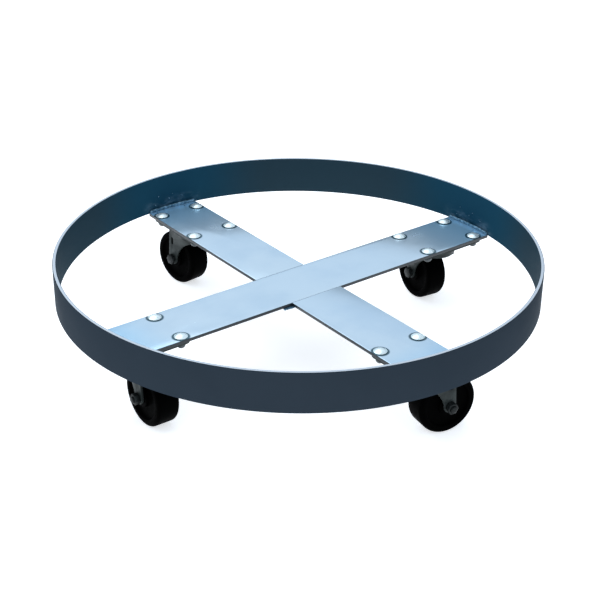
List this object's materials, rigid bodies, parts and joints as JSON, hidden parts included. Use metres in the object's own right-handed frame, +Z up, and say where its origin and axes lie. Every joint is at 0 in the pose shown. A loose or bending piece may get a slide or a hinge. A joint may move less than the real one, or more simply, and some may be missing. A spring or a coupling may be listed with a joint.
{
  "type": "drum dolly",
  "caption": "Round drum dolly: a flat steel hoop round a flat steel cross, carried on swivel plate casters riveted under the arms, for rolling a standing 55 gallon drum.",
  "frame": {"origin": "on the floor, under the middle of the hoop", "axes": "+Z up; the long cross bar lies along X and the two short bars along Y; east is +X and north is +Y"},
  "size_m": [0.6096, 0.6096, 0.1494],
  "materials": {
    "slate_paint": "semi-gloss blue-grey paint",
    "ice_silver": "semi-gloss silver-blue coat",
    "weld_metal": "rough weld under the same coat",
    "fork_zinc": "satin zinc-plated pressed steel",
    "rivet_zinc": "bright zinc plate",
    "bearing_steel": "plain bearing steel",
    "black_moulding": "black moulded wheel"
  },
  "bodies": {
    "frame": {"hoop": "slate_paint", "long_bar": "ice_silver", "short_bar_north": "ice_silver", "short_bar_south": "ice_silver", "hoop_weld_east": "weld_metal", "hoop_weld_north": "weld_metal", "hoop_weld_west": "weld_metal", "hoop_weld_south": "weld_metal", "centre_weld_north": "weld_metal", "centre_weld_south": "weld_metal", "east_top_plate": "fork_zinc", "east_kingpin": "bearing_steel", "east_rivet_1": "rivet_zinc", "east_rivet_2": "rivet_zinc", "east_rivet_3": "rivet_zinc", "east_rivet_4": "rivet_zinc", "north_top_plate": "fork_zinc", "north_kingpin": "bearing_steel", "north_rivet_1": "rivet_zinc", "north_rivet_2": "rivet_zinc", "north_rivet_3": "rivet_zinc", "north_rivet_4": "rivet_zinc", "west_top_plate": "fork_zinc", "west_kingpin": "bearing_steel", "west_rivet_1": "rivet_zinc", "west_rivet_2": "rivet_zinc", "west_rivet_3": "rivet_zinc", "west_rivet_4": "rivet_zinc", "south_top_plate": "fork_zinc", "south_kingpin": "bearing_steel", "south_rivet_1": "rivet_zinc", "south_rivet_2": "rivet_zinc", "south_rivet_3": "rivet_zinc", "south_rivet_4": "rivet_zinc"},
    "east_fork_body": {"east_fork": "fork_zinc", "east_ball_ring": "bearing_steel", "east_sleeve": "bearing_steel", "east_axle_bolt": "rivet_zinc", "east_axle_nut": "rivet_zinc"},
    "east_wheel_body": {"east_wheel": "black_moulding"},
    "north_fork_body": {"north_fork": "fork_zinc", "north_ball_ring": "bearing_steel", "north_sleeve": "bearing_steel", "north_axle_bolt": "rivet_zinc", "north_axle_nut": "rivet_zinc"},
    "north_wheel_body": {"north_wheel": "black_moulding"},
    "west_fork_body": {"west_fork": "fork_zinc", "west_ball_ring": "bearing_steel", "west_sleeve": "bearing_steel", "west_axle_bolt": "rivet_zinc", "west_axle_nut": "rivet_zinc"},
    "west_wheel_body": {"west_wheel": "black_moulding"},
    "south_fork_body": {"south_fork": "fork_zinc", "south_ball_ring": "bearing_steel", "south_sleeve": "bearing_steel", "south_axle_bolt": "rivet_zinc", "south_axle_nut": "rivet_zinc"},
    "south_wheel_body": {"south_wheel": "black_moulding"}
  },
  "joints": [
    {"name": "east_swivel", "type": "hinge", "parent": "frame", "child": "east_fork_body", "pos_m": [0.2366, 0, 0.0784], "axis": [0, 0, 1], "continuous": true},
    {"name": "east_wheel_spin", "type": "hinge", "parent": "east_fork_body", "child": "east_wheel_body", "pos_m": [0.24013, 0.02878, 0.0381], "axis": [-0.9925, 0.1219, 0], "continuous": true},
    {"name": "north_swivel", "type": "hinge", "parent": "frame", "child": "north_fork_body", "pos_m": [0, 0.2366, 0.0784], "axis": [0, 0, 1], "continuous": true},
    {"name": "north_wheel_spin", "type": "hinge", "parent": "north_fork_body", "child": "north_wheel_body", "pos_m": [-0.00353, 0.26538, 0.0381], "axis": [-0.9925, -0.1219, 0], "continuous": true},
    {"name": "west_swivel", "type": "hinge", "parent": "frame", "child": "west_fork_body", "pos_m": [-0.2366, 0, 0.0784], "axis": [0, 0, 1], "continuous": true},
    {"name": "west_wheel_spin", "type": "hinge", "parent": "west_fork_body", "child": "west_wheel_body", "pos_m": [-0.23711, -0.029, 0.0381], "axis": [0.9998, -0.0175, 0], "continuous": true},
    {"name": "south_swivel", "type": "hinge", "parent": "frame", "child": "south_fork_body", "pos_m": [0, -0.2366, 0.0784], "axis": [0, 0, 1], "continuous": true},
    {"name": "south_wheel_spin", "type": "hinge", "parent": "south_fork_body", "child": "south_wheel_body", "pos_m": [0.02856, -0.24164, 0.0381], "axis": [0.1736, 0.9848, 0], "continuous": true}
  ]
}
